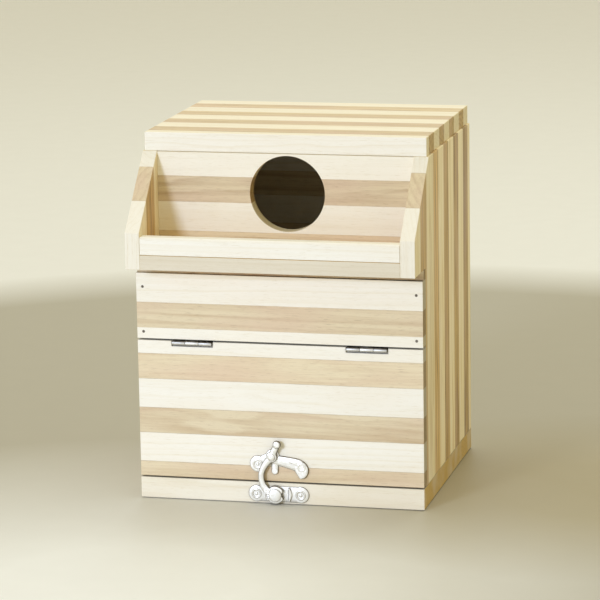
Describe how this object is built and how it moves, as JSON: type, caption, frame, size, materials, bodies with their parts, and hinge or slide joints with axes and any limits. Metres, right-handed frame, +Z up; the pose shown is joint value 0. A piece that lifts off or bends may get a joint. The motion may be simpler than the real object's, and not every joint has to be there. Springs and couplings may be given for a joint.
{
  "type": "bird nest box",
  "caption": "Striped wooden nest box with flat roof, round entrance over a lipped tray between sloped wings, and a top-hinged front door held by a swing-hook clasp.",
  "frame": {"origin": "under the middle of the whole box, on the surface it stands on", "axes": "+Z up, +Y from the door towards the back, +X to the right of someone facing the door"},
  "size_m": [0.145, 0.1438, 0.1833],
  "materials": {
    "pale_timber": "planed, bare",
    "brown_timber": "planed, bare",
    "base_timber": "planed, bare",
    "clasp_nickel": "bright nickel plate",
    "hinge_nickel": "bright nickel plate",
    "brad_steel": "dull steel"
  },
  "bodies": {
    "box": {"base_board": "base_timber", "back_pale_staves": "pale_timber", "back_brown_staves": "brown_timber", "roof_pale_staves": "pale_timber", "roof_brown_staves": "brown_timber", "left_side_pale_staves": "pale_timber", "left_side_brown_staves": "brown_timber", "right_side_pale_staves": "pale_timber", "right_side_brown_staves": "brown_timber", "entrance_panel_pale_staves": "pale_timber", "entrance_panel_brown_staves": "brown_timber", "tray_floor": "base_timber", "tray_lip": "pale_timber", "front_strip_pale_staves": "pale_timber", "front_strip_brown_staves": "brown_timber", "front_strip_brads": "brad_steel", "hinge_upper_leaves": "hinge_nickel", "hinge_upper_nails": "brad_steel", "hinge_pins": "hinge_nickel", "clasp_lower_plate": "clasp_nickel", "clasp_lower_nails": "clasp_nickel", "clasp_catch_stud": "clasp_nickel"},
    "door": {"door_pale_staves": "pale_timber", "door_brown_staves": "brown_timber", "hinge_lower_leaves": "hinge_nickel", "hinge_lower_nails": "brad_steel", "clasp_upper_plate": "clasp_nickel", "clasp_upper_nails": "clasp_nickel", "clasp_rivet": "clasp_nickel"},
    "clasp_arm": {"clasp_arm": "clasp_nickel"}
  },
  "joints": [
    {"name": "door_hinge", "type": "hinge", "parent": "box", "child": "door", "pos_m": [0, -0.0543, 0.0805], "axis": [-1, 0, 0], "range_deg": [0, 150]},
    {"name": "clasp_pivot", "type": "hinge", "parent": "door", "child": "clasp_arm", "pos_m": [-0.00419, -0.0551, 0.02461], "axis": [0, 1, 0], "range_deg": [0, 100]}
  ]
}
